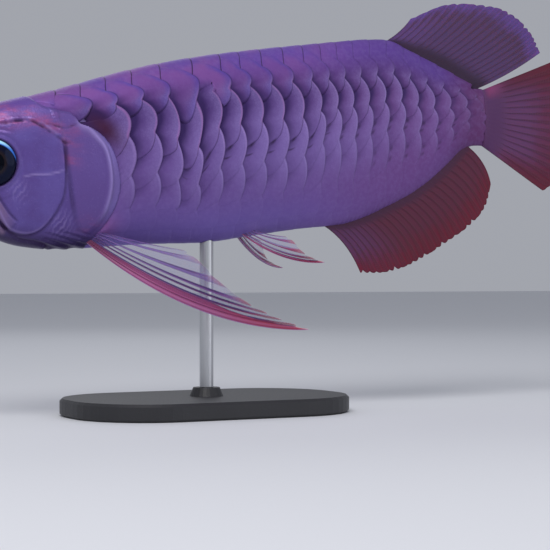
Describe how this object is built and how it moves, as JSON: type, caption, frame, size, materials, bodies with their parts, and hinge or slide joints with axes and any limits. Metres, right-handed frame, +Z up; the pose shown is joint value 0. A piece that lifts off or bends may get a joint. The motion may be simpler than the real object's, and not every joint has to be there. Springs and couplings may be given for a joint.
{
  "type": "arowana fish model",
  "caption": "Life-size Asian arowana with large overlapping scales, an upturned mouth, chin barbels and rayed fins, held level on a flat base by one rod.",
  "frame": {"origin": "middle of the stand's underside, on the floor", "axes": "-X towards the snout, -Y out of the left flank, +Z up"},
  "size_m": [0.4693, 0.1636, 0.251],
  "materials": {
    "skin": "glossy violet scales with a pearly sheen",
    "fin": "satin crimson membrane between raised rays",
    "eye": "wet black pupil in a dark iris with a blue upper edge",
    "barbel": "satin",
    "stand_base": "satin black powder coat",
    "stand_rod": "brushed along the rod"
  },
  "bodies": {
    "root": {"head": "skin", "lower_jaw": "skin", "gill_cover_left": "skin", "gill_cover_right": "skin", "trunk": "skin", "tail": "skin", "dorsal_fin": "fin", "anal_fin": "fin", "caudal_fin": "fin", "pectoral_fin_left": "fin", "pectoral_fin_right": "fin", "pelvic_fin_left": "fin", "pelvic_fin_right": "fin", "eye_left": "eye", "eye_right": "eye", "barbel_left": "barbel", "barbel_right": "barbel", "stand_base": "stand_base", "stand_rod": "stand_rod"}
  },
  "joints": []
}
